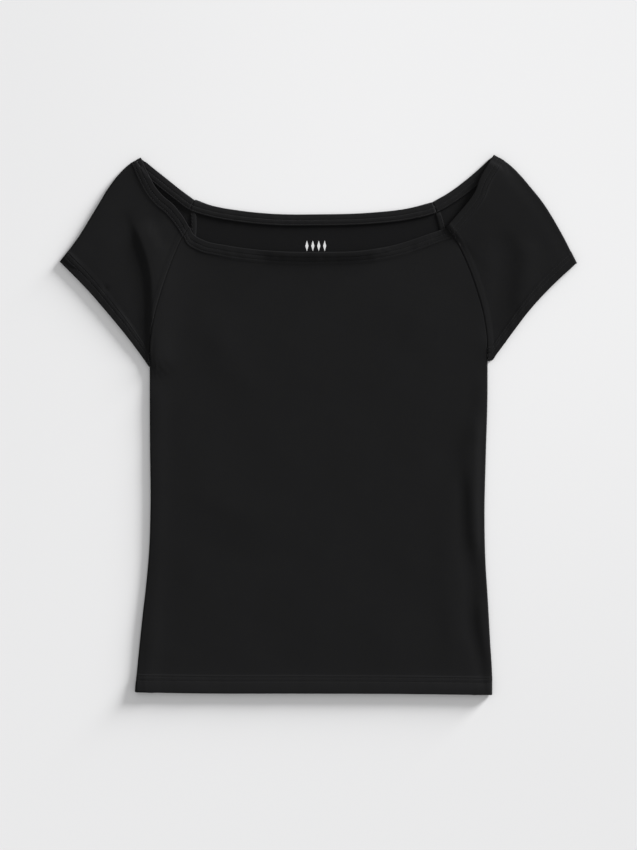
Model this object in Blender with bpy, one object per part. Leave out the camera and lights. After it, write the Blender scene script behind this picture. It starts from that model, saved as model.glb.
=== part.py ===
"""Off-shoulder jersey top with cap sleeves, laid flat on its back.

The frame is +Z up from the surface that it lies on and +Y towards the neckline, with the origin
under the middle of its outline. Tables and lengths are in millimetres, and the meshes in metres.
The wearer's right sleeve lies at -X, and is called left here, as it is seen from above.
"""

import math

import bmesh
import bpy
import numpy as np

MM = 0.001

# The cloth: the thickness of one layer, the gap that pieces keep at a seam, and the gap that two
# layers keep where they lie on each other.
WALL = 1.2
SEAM_GAP = 0.3
LAYER_GAP = 0.3

# Heights of the middle of the cloth. The back lies on the surface, and the front on the back.
LARGEST_GAP = 3.9
BACK_Z = WALL / 2
LOWEST_FRONT_Z = BACK_Z + WALL + LAYER_GAP
HIGHEST_FRONT_Z = BACK_Z + WALL + LARGEST_GAP
BODY_Z = 2.75
SLEEVE_Z = 3.1

# Where the body's height turns into the sleeves', outwards from this X and upwards from this Y.
SLEEVE_FROM_X = 165
SLEEVE_FROM_Y = 70
SLEEVE_RAMP = 30

# Turned hems: their widths, how much their second layer raises the outside, and the step's width.
BOTTOM_HEM = 20
SLEEVE_HEM = 15
NECK_HEM = 13
HEM_RISE = 0.45
HEM_STEP = 1.5

# The neck hem's strip, where it shows on the inside of the back: its thickness in the middle and at
# its edges, the inset of its outer edge from the neckline, the width of its rounded edges, and how
# far it stops short of a fold.
STRIP_WALL = 1.0
STRIP_EDGE_WALL = 0.6
STRIP_INSET = 0.5
STRIP_EDGE = 1.2
STRIP_END = 9

# A side seam lies halfway up the rolled edge. Above the underarm the roll opens out flat, over
# this much of the seam. The front's height at an edge is read a little way in from it.
UNROLL = 18
EDGE_INSET = 3
LEAST_TURN = 1e-4

# How finely the pieces are divided. A share of a panel's columns is spread evenly, and the rest
# close up towards its sides.
CURVE_SAMPLES = 400
FOLD_SAMPLES = 60
SIDE_SPANS = 18
SEAM_SPANS = 7
FRONT_COLUMNS = 27
BACK_COLUMNS = 9
EVEN_SHARE = 0.45
SLEEVE_COLUMNS = 11
ROLL_SPANS = 3
FOLD_SPANS = 6
STRIP_SPANS_PER_METRE = 90
LEAST_STRIP_SPANS = 4
SHARP_DEGREES = 50

CLOTH_COLOUR = (0.012, 0.012, 0.013, 1.0)
HEM_COLOUR = (0.018, 0.018, 0.019, 1.0)
CLOTH_ROUGHNESS = 0.92

# The outline, left and right, as it lies. Sides run from the hem up to the underarm, seams from
# the underarm to the neckline, sleeve hems and folds from the underarm out and over the shoulder.
SIDE = {
    "left": [(-211.5, -307), (-208.1, -270.5), (-203.4, -224.5), (-198.2, -178.5),
             (-195.3, -144), (-193.8, -98), (-194.4, -17.5), (-194.6, 66.4)],
    "right": [(198.8, -310.4), (199.1, -293.5), (196.6, -247.5), (194.1, -201.5),
              (191.3, -155.5), (190.3, -109.5), (192, -29), (193.6, 28.5), (193.8, 73.3)],
}
FRONT_SEAM = {
    "left": [(-194.6, 66.4), (-194.2, 92), (-190.5, 120), (-182, 152), (-170, 187), (-159, 212),
             (-149.5, 227.4)],
    "right": [(193.8, 73.3), (193.2, 98), (189.5, 125), (181, 156), (169, 188), (158, 210),
              (146, 226.5)],
}
BACK_SEAM = {
    "left": [(-194.6, 66.4), (-194.2, 90), (-184, 122), (-163, 158), (-146, 195), (-141.5, 226),
             (-143.2, 258.5)],
    "right": [(193.8, 73.3), (192.8, 97), (182, 127), (161, 160), (145, 195), (139, 226),
              (130.3, 256)],
}
TOP_FOLD = {
    "left": [(-297.9, 187.1), (-276.7, 215.5), (-256.3, 248.7), (-241.4, 273), (-229.8, 288.2),
             (-219.2, 298.6), (-204.8, 306.9)],
    "right": [(296.3, 185.4), (278.6, 220.2), (254.4, 259.2), (242.7, 273.5), (231.6, 286.6),
              (215.4, 301.7), (200.8, 310.2)],
}
SLEEVE_OPENING = {
    "left": [(-194.6, 66.4), (-217.6, 97.3), (-240.8, 125.8), (-264.2, 152.9), (-297.9, 187.1)],
    "right": [(193.8, 73.3), (198.2, 73.5), (203.5, 80.3), (220.7, 103.6), (243.4, 133.3),
              (267, 158.7), (296.3, 185.4)],
}
HEM = [(-211.5, -307), (-136.8, -308.5), (-21.8, -308.7), (93.1, -309.1), (198.8, -310.4)]
FRONT_NECK = [(-149.5, 227.4), (-145.5, 220.5), (-132.2, 211.8), (-106.9, 206), (-79.4, 201.9),
              (-50, 199.2), (0, 198.2), (54, 200.2), (93.1, 208), (112.4, 214.2), (129.6, 220.2),
              (146, 226.5)]
BACK_NECK = [(-143.2, 258.5), (-125.1, 252.6), (-90.6, 246.2), (-54, 242.6), (1.1, 242),
             (58.5, 243.8), (104.3, 249.2), (130.3, 256)]
FRONT_NECK_ON_SLEEVE = {
    "left": [(-149.5, 227.4), (-154.7, 236.6), (-161, 245.5), (-168.2, 253.8), (-177.7, 261.5),
             (-187.4, 272.5), (-195, 286), (-204.8, 306.9)],
    "right": [(146, 226.5), (158.7, 241.2), (171.3, 256.2), (179.5, 268.5), (184, 281),
              (200.8, 310.2)],
}
BACK_NECK_ON_SLEEVE = {
    "left": [(-143.2, 258.5), (-158.2, 269.4), (-181.6, 288), (-204.8, 306.9)],
    "right": [(130.3, 256), (149.6, 267.1), (172.1, 284), (200.8, 310.2)],
}

# Soft folds of the front layer: how much each rises or sinks, its half width, the share of its
# length over which each end fades, and its path.
FOLDS = [
    # rise, half width, fade, path
    (1.7, 11, 0.02, [(-205, 306), (-188, 273), (-168, 254), (-150, 227), (-132, 211), (-68, 200),
                     (0, 198), (93, 207), (146, 226), (171, 256), (184, 281), (201, 310)]),
    (2.1, 17, 0.02, [(-222, -306), (-137, -309), (0, -309), (93, -309), (209, -310)]),
    (1.2, 15, 0.02, [(-292, 187), (-252, 243), (-226, 280), (-205, 298)]),
    (1.2, 15, 0.02, [(292, 186), (252, 251), (228, 280), (202, 301)]),
    (1.0, 12, 0.10, [(-201, -330), (-189, -178), (-186, -98), (-187, 60)]),
    (1.1, 10, 0.10, [(190, -330), (186, -201), (182, -110), (183, -29), (186, 66)]),
    (-2.6, 10, 0.18, [(-228, 252), (-208, 190), (-202, 143), (-196, 66)]),
    (-1.4, 5, 0.20, [(-205, 150), (-199, 115), (-195, 50)]),
    (1.6, 9, 0.25, [(-184, 190), (-186, 130), (-188, 40)]),
    (1.2, 12, 0.25, [(-242, 225), (-226, 175), (-214, 118)]),
    (-0.9, 9, 0.30, [(-196, 256), (-186, 226), (-168, 194)]),
    (-2.0, 10, 0.20, [(210, 222), (212, 160), (205, 120), (196, 88)]),
    (1.0, 12, 0.25, [(238, 220), (234, 160), (218, 118)]),
    (1.2, 9, 0.25, [(180, 190), (184, 120), (184, 40)]),
    (-1.9, 8, 0.20, [(156, -40), (162, -100), (168, -160), (173, -202), (182, -320)]),
    (0.9, 14, 0.30, [(140, -70), (146, -150), (150, -230), (158, -300)]),
    (0.7, 20, 0.35, [(-150, 150), (-90, 60), (-40, 10)]),
    (0.6, 22, 0.35, [(150, 160), (95, 80), (40, 30)]),
    (0.6, 18, 0.35, [(-170, -60), (-110, -95), (-30, -100)]),
    (-0.6, 16, 0.35, [(-165, -120), (-90, -150), (0, -150)]),
    (0.6, 20, 0.35, [(-180, -240), (-120, -200), (-60, -190)]),
]


def smoothstep(value):
    value = np.clip(value, 0, 1)
    return value * value * (3 - 2 * value)


def lengths(points):
    """The distance along a run of points, at each point."""
    steps = np.linalg.norm(np.diff(points, axis=0), axis=1)
    return np.concatenate([[0], np.cumsum(steps)])


def smooth(points, fractions):
    """Points at these fractions of the length of a smooth curve through the given points."""
    points = np.array(points, float)
    at = lengths(points)
    slope = np.gradient(points, at, axis=0)
    fine = np.linspace(0, at[-1], CURVE_SAMPLES)
    span = np.clip(np.searchsorted(at, fine, side="right") - 1, 0, len(at) - 2)
    width = (at[span + 1] - at[span])[:, None]
    t = (fine - at[span])[:, None] / width
    curve = (
        (2 * t**3 - 3 * t**2 + 1) * points[span]
        + (t**3 - 2 * t**2 + t) * width * slope[span]
        + (3 * t**2 - 2 * t**3) * points[span + 1]
        + (t**3 - t**2) * width * slope[span + 1]
    )
    along = lengths(curve)
    wanted = np.array(fractions) * along[-1]
    return np.stack([np.interp(wanted, along, axis) for axis in curve.T], axis=1)


def curve_length(points):
    return lengths(smooth(points, np.linspace(0, 1, CURVE_SAMPLES)))[-1]


def outward(points, way):
    """Unit normals in the plane: to the left of the direction of travel for way 1, right for -1."""
    along = np.gradient(points, axis=0)
    normal = np.stack([-along[:, 1], along[:, 0]], axis=1) * way
    return normal / np.linalg.norm(normal, axis=1, keepdims=True)


def fold_heights(x, y):
    """How far the folds raise the front layer at each point."""
    total = np.zeros_like(x)
    for rise, half_width, fade, path in FOLDS:
        fractions = np.linspace(0, 1, FOLD_SAMPLES)
        run = smooth(path, fractions)
        apart = np.hypot(x[..., None] - run[:, 0], y[..., None] - run[:, 1])
        nearest = apart.argmin(axis=-1)
        fading = smoothstep(fractions / fade) * smoothstep((1 - fractions) / fade)
        total += rise * fading[nearest] * np.exp(-((apart.min(axis=-1) / half_width) ** 2))
    return total


def front_z(x, y):
    """The height of the middle of the front layer, which levels off towards both its limits."""
    beyond_body = smoothstep((np.abs(x) - SLEEVE_FROM_X) / SLEEVE_RAMP)
    sleeve = beyond_body * smoothstep((y - SLEEVE_FROM_Y) / SLEEVE_RAMP)
    wanted = BODY_Z + (SLEEVE_Z - BODY_Z) * sleeve + fold_heights(x, y)
    reach = HIGHEST_FRONT_Z - LOWEST_FRONT_Z
    share = (wanted - LOWEST_FRONT_Z) / reach
    return LOWEST_FRONT_Z + reach * (0.5 + 0.5 * np.tanh(2 * (share - 0.5)))


def rows_with_hems(length, first_hem, last_hem, spans):
    """Fractions of a length with a row on both sides of each hem's step."""
    marks = [0.0]
    start, end = 0.0, length
    if first_hem:
        marks.append(first_hem)
        start = first_hem + HEM_STEP
    if last_hem:
        end = length - last_hem - HEM_STEP
    marks.extend(np.linspace(start, end, spans + 1)[0 if first_hem else 1:])
    if last_hem:
        marks.extend([length - last_hem, length])
    return np.array(marks) / length


def patch(bottom, top, left, right, across, up):
    """Points that fill four curves which meet at their ends: a Coons patch."""
    u = across[None, :, None]
    v = up[:, None, None]
    corners = (
        (1 - u) * (1 - v) * bottom[0]
        + u * (1 - v) * bottom[-1]
        + (1 - u) * v * top[0]
        + u * v * top[-1]
    )
    between_rows = (1 - v) * bottom[None] + v * top[None]
    between_sides = (1 - u) * left[:, None] + u * right[:, None]
    return between_rows + between_sides - corners


def between(points, first, last, fractions):
    """A smooth curve through the points, with other ends."""
    return smooth([first, *points[1:-1], last], fractions)


def normals(grid):
    along_rows = np.gradient(grid, axis=1, edge_order=2)
    along_columns = np.gradient(grid, axis=0, edge_order=2)
    normal = np.cross(along_rows, along_columns)
    return normal / np.linalg.norm(normal, axis=2, keepdims=True)


def closed_shell(upper, lower):
    """Vertices and faces of the solid between two grids of points."""
    rows, columns = upper.shape[:2]
    vertices = np.concatenate([upper.reshape(-1, 3), lower.reshape(-1, 3)])
    below = rows * columns
    faces = []
    for row in range(rows - 1):
        for column in range(columns - 1):
            a = row * columns + column
            quad = (a, a + 1, a + columns + 1, a + columns)
            faces.append(quad)
            faces.append(tuple(below + corner for corner in reversed(quad)))
    rim = list(range(columns))
    rim += [row * columns + columns - 1 for row in range(1, rows)]
    rim += [(rows - 1) * columns + column for column in range(columns - 2, -1, -1)]
    rim += [row * columns for row in range(rows - 2, 0, -1)]
    for corner, following in zip(rim, rim[1:] + rim[:1]):
        faces.append((following, corner, below + corner, below + following))
    return vertices, faces


def cloth(grid, outer_rise=0.0):
    """The wall of cloth whose middle is the grid, with its outside raised by outer_rise."""
    normal = normals(grid)
    outer = grid + normal * (WALL / 2 + outer_rise)
    inner = grid - normal * (WALL / 2)
    return closed_shell(outer, inner)


def full_turn(radius):
    """The angle by which a layer turns towards the other, so that their edges keep a seam's gap."""
    return np.arccos(np.clip(SEAM_GAP / 2 / (radius - WALL / 2), 0, 1))


def rolled_edge(edge, normal, radius, rolled):
    """Where a rolled edge starts, and its columns of points from there to the edge.

    edge is the outline. rolled is 1 where the cloth turns all the way to the side seam and 0 where
    it lies flat. The strip that turns keeps its length between them.
    """
    turn = np.maximum(full_turn(radius) * rolled, LEAST_TURN)
    strip = radius * full_turn(radius)
    reach = strip * np.sin(turn) / turn
    inset = reach + WALL / 2 * np.sin(turn) + SEAM_GAP / 2 * (1 - np.sin(turn))
    start = edge - normal * inset[:, None]
    columns = []
    for step in range(1, ROLL_SPANS + 1):
        share = step / ROLL_SPANS
        out = strip * np.sin(turn * share) / turn
        drop = strip * (1 - np.cos(turn * share)) / turn
        columns.append((start + normal * out[:, None], drop))
    return start, columns


def body_rows():
    """Fractions of the side and of the seam at which the body's rows lie."""
    side = rows_with_hems(curve_length(SIDE["left"]), BOTTOM_HEM, 0, SIDE_SPANS)
    seam = rows_with_hems(curve_length(FRONT_SEAM["left"]), SLEEVE_HEM, NECK_HEM, SEAM_SPANS)
    return side, seam


def body_edge(hand, seam_points):
    """The outline of one side of a panel, its normals, and how far its cloth is rolled."""
    side_rows, seam_rows = body_rows()
    side = smooth(SIDE[hand], side_rows)
    seam = smooth(seam_points, seam_rows)
    edge = np.vstack([side, seam[1:]])
    above_underarm = np.concatenate([np.zeros(len(side)), lengths(seam)[1:]])
    rolled = 1 - smoothstep(above_underarm / UNROLL)
    return edge, outward(edge, 1 if hand == "left" else -1), rolled


def panel_grid(seams, neckline, column_count, front):
    """The middle of a body panel: its flat middle, and a rolled edge on each side."""
    starts, rolls = {}, {}
    for hand in ("left", "right"):
        edge, normal, rolled = body_edge(hand, seams[hand])
        inside = edge - normal * EDGE_INSET
        radius = (front_z(inside[:, 0], inside[:, 1]) - BACK_Z) / 2
        starts[hand], rolls[hand] = rolled_edge(edge, normal, radius, rolled)
    even = np.linspace(0, 1, column_count)
    across = EVEN_SHARE * even + (1 - EVEN_SHARE) * (1 - np.cos(math.pi * even)) / 2
    up = lengths(starts["left"]) / lengths(starts["left"])[-1]
    bottom = between(HEM, starts["left"][0], starts["right"][0], across)
    top = between(neckline, starts["left"][-1], starts["right"][-1], across)
    middle = patch(bottom, top, starts["left"], starts["right"], across, up)
    if front:
        heights = front_z(middle[..., 0], middle[..., 1])
    else:
        heights = np.full(middle.shape[:2], BACK_Z)
    turn = -1 if front else 1
    columns = [np.dstack([middle, heights[..., None]])]
    for hand, edge_heights in (("left", heights[:, 0]), ("right", heights[:, -1])):
        for place, drop in rolls[hand]:
            column = np.column_stack([place, edge_heights + turn * drop])[:, None]
            columns = [column, *columns] if hand == "left" else [*columns, column]
    return np.concatenate(columns, axis=1)


def body_hem_rise():
    """How much the hems raise each row of the front panel's outside."""
    side_rows, seam_rows = body_rows()
    rise = np.zeros((len(side_rows) + len(seam_rows) - 1, 1, 1))
    rise[:2] = HEM_RISE
    rise[-2:] = HEM_RISE
    return rise


def front_panel():
    grid = panel_grid(FRONT_SEAM, FRONT_NECK, FRONT_COLUMNS, front=True)
    return cloth(grid, body_hem_rise())


def back_panel():
    grid = panel_grid(BACK_SEAM, BACK_NECK, BACK_COLUMNS, front=False)
    return cloth(grid)


def seam_side(hand, seam_points, seam_rows):
    """The sleeve's edge along a seam, one seam gap clear of the panel's."""
    seam = smooth(seam_points, seam_rows)
    normal = outward(seam, 1 if hand == "left" else -1)
    rolled = 1 - smoothstep(lengths(seam) / UNROLL)
    return seam + normal * (SEAM_GAP / 2 * (1 + rolled))[:, None]


def sleeve(hand):
    """One piece of cloth, from the front seam over the fold at the top to the back seam."""
    rows = body_rows()[1]
    fold = smooth(TOP_FOLD[hand], rows)
    normal = outward(fold, 1 if hand == "left" else -1)
    inside = fold - normal * EDGE_INSET
    radius = (front_z(inside[:, 0], inside[:, 1]) - BACK_Z) / 2
    start = fold - normal * (radius + WALL / 2)[:, None]
    across = np.linspace(0, 1, SLEEVE_COLUMNS)

    front_seam = seam_side(hand, FRONT_SEAM[hand], rows)
    opening = between(SLEEVE_OPENING[hand], front_seam[0], start[0], across)
    neckline = between(FRONT_NECK_ON_SLEEVE[hand], front_seam[-1], start[-1], across)
    front = patch(opening, neckline, front_seam, start, across, rows)
    heights = front_z(front[..., 0], front[..., 1])
    radius = (heights[:, -1] - BACK_Z) / 2

    columns = [np.dstack([front, heights[..., None]])]
    for step in range(1, FOLD_SPANS):
        turn = math.pi * step / FOLD_SPANS
        place = start + normal * (radius * math.sin(turn))[:, None]
        height = heights[:, -1] - radius * (1 - math.cos(turn))
        columns.append(np.column_stack([place, height])[:, None])

    across = np.linspace(0, 1, SLEEVE_COLUMNS // 2)
    back_seam = seam_side(hand, BACK_SEAM[hand], rows)
    opening = between(SLEEVE_OPENING[hand][::-1], start[0], back_seam[0], across)
    neckline = between(BACK_NECK_ON_SLEEVE[hand][::-1], start[-1], back_seam[-1], across)
    back = patch(opening, neckline, start, back_seam, across, rows)
    columns.append(np.dstack([back, np.full(back.shape[:2] + (1,), BACK_Z)]))
    grid = np.concatenate(columns, axis=1)

    rise = np.zeros((len(rows), grid.shape[1], 1))
    rise[:2, :SLEEVE_COLUMNS] = HEM_RISE
    rise[-2:, :SLEEVE_COLUMNS] = HEM_RISE
    if hand == "left":
        # The left sleeve is drawn from its seam outwards, so its grid is turned to face up.
        grid, rise = grid[:, ::-1], rise[:, ::-1]
    return cloth(grid, rise)


def back_neckline():
    """The back neckline from shoulder to shoulder, and where along it the two seams lie."""
    points = BACK_NECK_ON_SLEEVE["left"][::-1] + BACK_NECK[1:] + BACK_NECK_ON_SLEEVE["right"][1:]
    run = smooth(points, np.linspace(0, 1, CURVE_SAMPLES))
    at = lengths(run)
    seams = []
    for hand in ("left", "right"):
        seam_end = np.array(BACK_SEAM[hand][-1])
        seams.append(at[np.linalg.norm(run - seam_end, axis=1).argmin()])
    return run, at, seams


def neck_strip(start, end):
    """The turned hem on the inside of the back, between two distances along the neckline."""
    run, at, _ = back_neckline()
    spans = max(LEAST_STRIP_SPANS, round((end - start) * STRIP_SPANS_PER_METRE * MM))
    stations = np.linspace(start, end, spans + 1)
    line = np.stack([np.interp(stations, at, axis) for axis in run.T], axis=1)
    inward = np.stack([np.interp(stations, at, axis) for axis in outward(run, -1).T], axis=1)
    floor_z = WALL + LAYER_GAP
    section = [
        # distance from the neckline, thickness
        (STRIP_INSET, STRIP_EDGE_WALL),
        (STRIP_INSET + STRIP_EDGE, STRIP_WALL),
        (NECK_HEM - STRIP_EDGE, STRIP_WALL),
        (NECK_HEM, STRIP_EDGE_WALL),
    ]
    upper, lower = [], []
    for distance, thickness in reversed(section):
        place = line + inward * distance
        upper.append(np.column_stack([place, np.full(len(place), floor_z + thickness)]))
        lower.append(np.column_stack([place, np.full(len(place), floor_z)]))
    return closed_shell(np.array(upper), np.array(lower))


def neck_hem_back():
    _, _, seams = back_neckline()
    return neck_strip(seams[0] + SEAM_GAP / 2, seams[1] - SEAM_GAP / 2)


def neck_hem_sleeve(hand):
    _, at, seams = back_neckline()
    if hand == "left":
        return neck_strip(STRIP_END, seams[0] - SEAM_GAP / 2)
    return neck_strip(seams[1] + SEAM_GAP / 2, at[-1] - STRIP_END)


def clear_scene():
    for thing in list(bpy.data.objects):
        bpy.data.objects.remove(thing, do_unlink=True)


def jersey(name, colour):
    material = bpy.data.materials.new(name)
    material.use_nodes = True
    shader = material.node_tree.nodes["Principled BSDF"]
    shader.inputs["Base Color"].default_value = colour
    shader.inputs["Roughness"].default_value = CLOTH_ROUGHNESS
    shader.inputs["Metallic"].default_value = 0.0
    material.diffuse_color = colour
    return material


def place(name, solid, material, parent):
    """Makes one named piece, with its own origin below its middle."""
    vertices, faces = solid
    vertices = vertices * MM
    origin = (vertices.min(axis=0) + vertices.max(axis=0)) / 2
    origin[2] = 0
    mesh = bpy.data.meshes.new(name)
    mesh.from_pydata((vertices - origin).tolist(), [], faces)
    shape = bmesh.new()
    shape.from_mesh(mesh)
    bmesh.ops.recalc_face_normals(shape, faces=shape.faces)
    shape.to_mesh(mesh)
    shape.free()
    mesh.shade_smooth()
    mesh.set_sharp_from_angle(angle=math.radians(SHARP_DEGREES))
    mesh.materials.append(material)
    piece = bpy.data.objects.new(name, mesh)
    piece.location = origin
    piece.parent = parent
    bpy.context.scene.collection.objects.link(piece)
    return piece


def build():
    clear_scene()
    top = bpy.data.objects.new("top", None)
    bpy.context.scene.collection.objects.link(top)
    cloth_pieces = {
        "front_panel": front_panel(),
        "back_panel": back_panel(),
        "sleeve_left": sleeve("left"),
        "sleeve_right": sleeve("right"),
    }
    hem_pieces = {
        "neck_hem_back": neck_hem_back(),
        "neck_hem_sleeve_left": neck_hem_sleeve("left"),
        "neck_hem_sleeve_right": neck_hem_sleeve("right"),
    }
    for name, solid in cloth_pieces.items():
        place(name, solid, jersey(f"{name} jersey", CLOTH_COLOUR), top)
    for name, solid in hem_pieces.items():
        place(name, solid, jersey(f"{name} jersey", HEM_COLOUR), top)


build()
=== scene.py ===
"""Looks of the black off-shoulder top: jersey shells with seams, turned hems and stitching, laid flat.

Tables and lengths are in millimetres, in the same frame as the solids, and the meshes in metres.
"""

import math

import bpy
import numpy as np
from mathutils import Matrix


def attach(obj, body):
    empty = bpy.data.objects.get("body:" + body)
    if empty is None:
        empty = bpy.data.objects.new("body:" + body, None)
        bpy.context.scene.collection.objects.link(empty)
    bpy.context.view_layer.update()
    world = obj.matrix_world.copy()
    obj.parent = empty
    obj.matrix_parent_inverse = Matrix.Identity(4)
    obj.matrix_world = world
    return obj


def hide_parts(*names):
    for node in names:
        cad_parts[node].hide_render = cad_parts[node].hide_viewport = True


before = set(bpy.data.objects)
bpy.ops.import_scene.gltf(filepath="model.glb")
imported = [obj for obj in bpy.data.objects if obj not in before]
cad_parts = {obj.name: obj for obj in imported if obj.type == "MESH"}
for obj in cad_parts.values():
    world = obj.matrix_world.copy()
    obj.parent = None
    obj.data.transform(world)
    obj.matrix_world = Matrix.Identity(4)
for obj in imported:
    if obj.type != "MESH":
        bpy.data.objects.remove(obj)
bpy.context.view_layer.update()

MM = 0.001

# The cloth, as in the solids. The shell keeps the solid's outside and is thinner below it.
WALL = 1.2
SHELL = 0.9
SEAM_GAP = 0.3
LAYER_GAP = 0.3
BACK_Z = WALL / 2
LOWEST_FRONT_Z = BACK_Z + WALL + LAYER_GAP
LARGEST_GAP = 4.9
HIGHEST_FRONT_Z = BACK_Z + WALL + LARGEST_GAP
BODY_Z = 2.75
SLEEVE_Z = 3.1
SLEEVE_FROM_X = 165
SLEEVE_FROM_Y = 70
SLEEVE_RAMP = 30

# A rolled edge: how far above the underarm it opens out, where its height is read, and the least
# angle that it is worked out from.
UNROLL = 18
EDGE_INSET = 3
LEAST_TURN = 1e-4

# Turned hems: widths, the rise of the second layer, its step, the edge's rounding, and the slight
# ripple, whose middle and reach are shares of the hem.
BOTTOM_HEM = 20
SLEEVE_HEM = 15
NECK_HEM = 13
HEM_RISE = 0.45
HEM_STEP = 1.5
EDGE_ROUND = 0.6
MOST_ROUNDED = 0.97
PUCKER_MIDDLE = 0.6
PUCKER_REACH = 0.5
PUCKER_LENGTH = 13
PUCKER_RISE = 0.09

# Twin-needle stitching: how far its two rows lie from a hem's edge of the second layer, the groove
# that each row pulls in, and the stitches themselves.
NEEDLE_ROWS = (1.6, 6.4)
GROOVE_DEPTH = 0.22
GROOVE_HALF_WIDTH = 0.7
STITCH_PITCH = 3.0
STITCH_LENGTH = 2.5
STITCH_RADIUS = 0.19
STITCH_SIDES = 6
STITCH_SINK = 0.6
STITCH_SECTIONS = [
    # share of the stitch's length, share of its radius
    (-0.5, 0.35),
    (-0.3, 0.95),
    (0, 1.1),
    (0.3, 0.95),
    (0.5, 0.35),
]

# The cover stitch on the neck hem's strip, whose stitches lean to either side in turn.
COVER_PITCH = 1.5
COVER_LENGTH = 2.0
COVER_LEAN = 0.9

# The seams' own groove, and the allowance that lies below the sleeve beside it.
SEAM_DIP = 0.3
SEAM_DIP_WIDTH = 0.7
ALLOWANCE_RISE = 0.3
ALLOWANCE_WIDTH = 6
ALLOWANCE_STEP = 2
SEAM_FADE_FROM = 4
SEAM_FADE = 10

# The neck hem's strip on the inside of the back.
STRIP_WALL = 1.0
STRIP_INSET = 0.15
STRIP_EDGE = 1.2
STRIP_END = 7
STRIP_LIFT = 0.05
STRIP_CROWN = 0.25
STRIP_SPACING = 1.6
STRIP_MARKS = [0, 0.15, 0.4, 0.8, STRIP_EDGE, 2.5, 4, 5.5, 6, 6.6, 7.2, 8, 9, 10, 10.8, 11.4, 12,
               12.5, 12.8, 13.0]

# The plain mark printed on the inside of the back: where it lies, and its lozenges.
MARK_MIDDLE = (-3.7, 205.6)
MARK_PITCH = 6.8
MARK_HALF_WIDTH = 1.8
MARK_HALF_HEIGHT = 6.2
MARK_Z = WALL + 0.06

# The overlocked allowance of the back's seams, seen on the inside, and the filling of a seam's gap.
OVERLOCK_WIDTH = 6
OVERLOCK_WALL = 0.9
OVERLOCK_PITCH = 2.0
OVERLOCK_LENGTH = 2.6
OVERLOCK_LEAN = 1.0
OVERLOCK_SPAN = (0.70, 0.995)
OVERLOCK_INSET = 0.6
OVERLOCK_LIFT = 0.1
OVERLOCK_UNDER_HEM = 0.3
OVERLOCK_DROP = 3
FILLING_WIDTH = 0.6
FILLING_DEPTH = 0.5
FILLING_SPAN = (0.12, 0.995)
FILLING_SAMPLES = 120

# How finely the shells are divided, and the closer rows and columns beside edges, hems and seams.
CURVE_SAMPLES = 900
FOLD_SAMPLES = 60
OVERLOCK_SAMPLES = 60
ROW_SPACING = 2.7
FINE_SPACING = 0.6
FINE_BEFORE = 1.2
FINE_AFTER = 1.6
HEM_CLEAR = 4
EDGE_MARKS = (0, 0.12, 0.35, EDGE_ROUND, 1.6)
OUTER_MARKS = (3.2, 5)
SEAM_MARKS = (0.4, 0.9, 1.6)
SLEEVE_WIDTH = 120
EDGE_CROWDING = 0.45
FRONT_COLUMNS = 150
BACK_COLUMNS = 80
SLEEVE_COLUMNS = 70
ROLL_SPANS = 8
FOLD_SPANS = 14

# The outline, left and right, as it lies: the same runs of points as the solids.
SIDE = {
    "left": [(-211.5, -307), (-208.1, -270.5), (-203.4, -224.5), (-198.2, -178.5),
             (-195.3, -144), (-193.8, -98), (-194.4, -17.5), (-194.6, 66.4)],
    "right": [(198.8, -310.4), (199.1, -293.5), (196.6, -247.5), (194.1, -201.5),
              (191.3, -155.5), (190.3, -109.5), (192, -29), (193.6, 28.5), (193.8, 73.3)],
}
FRONT_SEAM = {
    "left": [(-194.6, 66.4), (-194.2, 92), (-190.5, 120), (-182, 152), (-170, 187), (-159, 212),
             (-149.5, 227.4)],
    "right": [(193.8, 73.3), (193.2, 98), (189.5, 125), (181, 156), (169, 188), (158, 210),
              (146, 226.5)],
}
BACK_SEAM = {
    "left": [(-194.6, 66.4), (-194.2, 90), (-184, 122), (-163, 158), (-146, 195), (-141.5, 226),
             (-143.2, 258.5)],
    "right": [(193.8, 73.3), (192.8, 97), (182, 127), (161, 160), (145, 195), (139, 226),
              (130.3, 256)],
}
TOP_FOLD = {
    "left": [(-297.9, 187.1), (-276.7, 215.5), (-256.3, 248.7), (-241.4, 273), (-229.8, 288.2),
             (-219.2, 298.6), (-204.8, 306.9)],
    "right": [(296.3, 185.4), (278.6, 220.2), (254.4, 259.2), (242.7, 273.5), (231.6, 286.6),
              (215.4, 301.7), (200.8, 310.2)],
}
SLEEVE_OPENING = {
    "left": [(-194.6, 66.4), (-217.6, 97.3), (-240.8, 125.8), (-264.2, 152.9), (-297.9, 187.1)],
    "right": [(193.8, 73.3), (198.2, 73.5), (203.5, 80.3), (220.7, 103.6), (243.4, 133.3),
              (267, 158.7), (296.3, 185.4)],
}
HEM = [(-211.5, -307), (-136.8, -308.5), (-21.8, -308.7), (93.1, -309.1), (198.8, -310.4)]
FRONT_NECK = [(-149.5, 227.4), (-145.5, 220.5), (-132.2, 211.8), (-106.9, 206), (-79.4, 201.9),
              (-50, 199.2), (0, 198.2), (54, 200.2), (93.1, 208), (112.4, 214.2), (129.6, 220.2),
              (146, 226.5)]
BACK_NECK = [(-143.2, 258.5), (-125.1, 252.6), (-90.6, 246.2), (-54, 242.6), (1.1, 242),
             (58.5, 243.8), (104.3, 249.2), (130.3, 256)]
FRONT_NECK_ON_SLEEVE = {
    "left": [(-149.5, 227.4), (-154.7, 236.6), (-161, 245.5), (-168.2, 253.8), (-177.7, 261.5),
             (-187.4, 272.5), (-195, 286), (-204.8, 306.9)],
    "right": [(146, 226.5), (158.7, 241.2), (171.3, 256.2), (179.5, 268.5), (184, 281),
              (200.8, 310.2)],
}
BACK_NECK_ON_SLEEVE = {
    "left": [(-143.2, 258.5), (-158.2, 269.4), (-181.6, 288), (-204.8, 306.9)],
    "right": [(130.3, 256), (149.6, 267.1), (172.1, 284), (200.8, 310.2)],
}

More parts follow.
